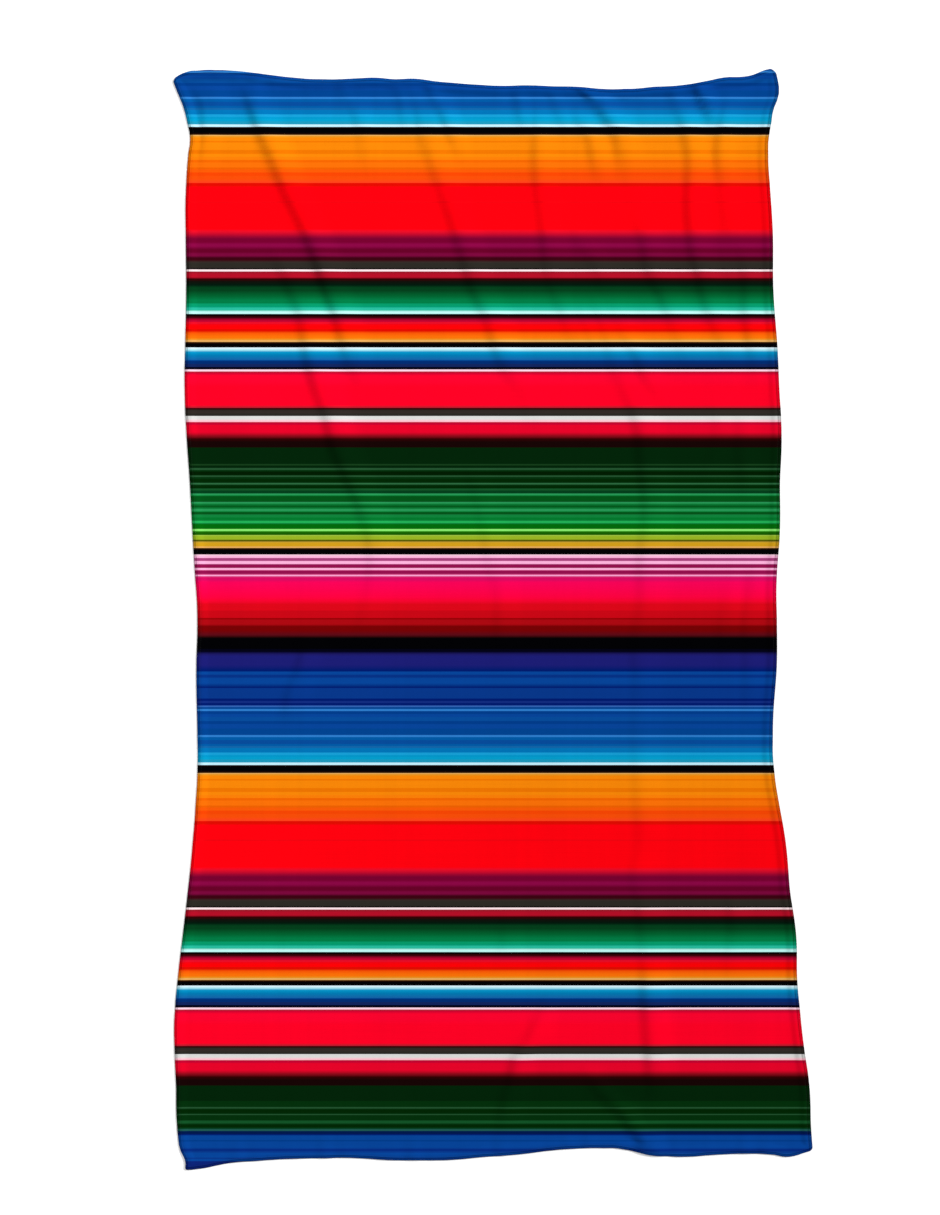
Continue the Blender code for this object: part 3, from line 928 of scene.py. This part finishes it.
def cloth_material(name, group, painted_rim):
    """Dense wool: the charted stripes, uneven yarn and dye, and the beaded face of a weft-faced weave, with
    painted shade round the rim where asked.
    """
    material, nodes = new_material(name)
    place, across, up, stripes = woven_place(nodes, group)
    pick = stripes.outputs["Pick"]
    row = nodes.math("FLOOR", pick)

    # Each pick is dyed and spun a little unlike the next, and drifts along its length.
    drift = nodes.noise(nodes.stretched(across, row, *YARN_DRIFT_SCALE), 1.0, 1.0)
    warp_streak = nodes.noise(nodes.stretched(across, up, *WARP_STREAK_SCALE), 1.0)
    mottle = nodes.noise(place, MOTTLE_SCALE, 3.0)
    shade = nodes.math("MULTIPLY_ADD", nodes.math("SUBTRACT", drift, 0.5), YARN_DRIFT, 1.0)
    shade = nodes.math("MULTIPLY_ADD", nodes.math("SUBTRACT", warp_streak, 0.5), WARP_STREAK, shade)
    shade = nodes.math("MULTIPLY_ADD", nodes.math("SUBTRACT", mottle, 0.5), MOTTLE, shade)
    # Painted shade: the rim's colour darkened in place of the shade at the folded edge.
    if painted_rim:
        rim_shade = nodes.add("Attribute", attribute_name="painted_rim_shade").outputs["Fac"]
        shade = nodes.math("SUBTRACT", shade, rim_shade)
    colour = nodes.mix(1.0, stripes.outputs["Color"], nodes.grey(shade), "MULTIPLY")

    # A pick passes over one warp and under the next, and its neighbours do the opposite.
    phase = nodes.math("MULTIPLY", across, np.pi / WARP_PITCH)
    phase = nodes.math("MULTIPLY_ADD", nodes.math("MODULO", row, 2.0), np.pi / 2, phase)
    bead = nodes.math("ABSOLUTE", nodes.math("SINE", phase))
    crown = nodes.math("ABSOLUTE", nodes.math("SINE", nodes.math("MULTIPLY", pick, np.pi)))
    fuzz = nodes.noise(place, FUZZ_SCALE)
    weave = nodes.math("MULTIPLY_ADD", fuzz, FUZZ, nodes.math("MULTIPLY", bead, crown))
    bump = nodes.add("Bump", {"Height": weave, "Strength": WEAVE_BUMP, "Distance": WEAVE_DEPTH})

    least, added = CLOTH_ROUGHNESS
    shader = nodes.surface(colour, nodes.math("MULTIPLY_ADD", mottle, added, least), CLOTH_SHINE)
    nodes.put(shader.inputs["Normal"], bump.outputs[0])
    return material


def thread_material(group):
    """Sewing thread in the colour of the stripe it lies on, with a slight gloss and its own twist, which
    is also painted on as shade and highlight.
    """
    material, nodes = new_material("sewing thread")
    _, across, up, stripes = woven_place(nodes, group)
    twist = nodes.math("MULTIPLY", nodes.math("ADD", across, up), 2 * np.pi / THREAD_TWIST)
    twist = nodes.math("SINE", twist)
    # Painted shade and highlight: the colour goes lighter and darker with the twist's bump.
    middle, change = THREAD_TONE_AND_TWIST_SHADE
    grey = nodes.grey(nodes.math("MULTIPLY_ADD", twist, change, middle))
    colour = nodes.mix(1.0, stripes.outputs["Color"], grey, "MULTIPLY")
    bump = nodes.add("Bump", {"Height": twist, "Strength": THREAD_BUMP, "Distance": THREAD_DEPTH})
    shader = nodes.surface(colour, THREAD_ROUGHNESS, THREAD_SHINE)
    nodes.put(shader.inputs["Normal"], bump.outputs[0])
    return material


def floor_material():
    """A matt pale studio surface that glows a little, so that shadows on it stay light."""
    material, nodes = new_material("pale floor")
    place = nodes.add("TexCoord").outputs["Object"]
    shade = nodes.math("MULTIPLY_ADD", nodes.noise(place, FLOOR_MOTTLE_SCALE), FLOOR_MOTTLE, FLOOR_TONE)
    shader = nodes.surface(nodes.grey(shade), FLOOR_ROUGHNESS, FLOOR_SHINE)
    shader.inputs["Emission Color"].default_value = (1, 1, 1, 1)
    shader.inputs["Emission Strength"].default_value = FLOOR_GLOW
    return material


# ---------------------------------------------------------------- studio


def floor():
    """A square of floor just under the cloth."""
    half = FLOOR_SIZE / 2
    points = np.array([[-half, -half, 0], [half, -half, 0], [half, half, 0], [-half, half, 0]])
    points[:, 2] = -FLOOR_DROP
    piece = new_piece("floor", points, np.array([[0, 1, 2, 3]]), {})
    piece.data.materials.append(floor_material())


def add_light(name, kind, energy, place, aim, **settings):
    """A light at a place that points at its aim."""
    light = bpy.data.lights.new(name, kind)
    light.energy = energy
    for setting, value in settings.items():
        setattr(light, setting, value)
    lamp = bpy.data.objects.new(name, light)
    lamp.location = place
    lamp.rotation_euler = (Vector(aim) - Vector(place)).to_track_quat("-Z", "Y").to_euler()
    bpy.context.scene.collection.objects.link(lamp)


def studio():
    """Soft daylight from all round, a key light low enough on the right to show the folds, and soft fills."""
    scene = bpy.context.scene
    scene.view_settings.view_transform = "Standard"
    world = bpy.data.worlds.new("studio")
    world.use_nodes = True
    background = world.node_tree.nodes["Background"]
    background.inputs["Color"].default_value = (1, 1, 1, 1)
    background.inputs["Strength"].default_value = DAYLIGHT
    scene.world = world
    heading, height = np.radians(KEY_HEADING), np.radians(KEY_HEIGHT)
    key = Vector((np.cos(heading) * np.cos(height), np.sin(heading) * np.cos(height), np.sin(height)))
    add_light("key", "SUN", KEY_STRENGTH, key * KEY_DISTANCE, (0, 0, 0), angle=np.radians(KEY_SPREAD))
    for name, (place, aim, strength) in FILLS.items():
        add_light(name, "AREA", strength, place, aim, shape="DISK", size=FILL_SIZE)


def camera():
    """A long lens straight above the cloth, with its top end up."""
    lens = bpy.data.cameras.new("camera")
    lens.lens = LENS
    lens.sensor_width = SENSOR
    view = bpy.data.objects.new("camera", lens)
    view.location = (*VIEW_MIDDLE, VIEW_HEIGHT * LENS / SENSOR)
    bpy.context.scene.collection.objects.link(view)
    bpy.context.scene.camera = view


# ---------------------------------------------------------------- the serape


def serape():
    """The cloth, its four hem bands and their stitches, in the places of the plain solids."""
    group = stripe_group()
    cloth = panel()
    cloth.data.materials.append(cloth_material("striped wool", group, painted_rim=True))
    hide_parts("striped_panel")
    hem_cloth = cloth_material("hem wool", group, painted_rim=False)
    thread = thread_material(group)
    sewn_on = []
    for edge, (side, end) in HEMS.items():
        band = hem(f"{edge}_hem_band", side, end)
        band.data.materials.append(hem_cloth)
        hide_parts(f"{edge}_hem")
        row = stitches(f"{edge}_hem_stitches", side, end)
        row.data.materials.append(thread)
        sewn_on += [band, row]
    for piece in (cloth, *sewn_on):
        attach(piece, "root")


camera()
studio()
floor()
serape()
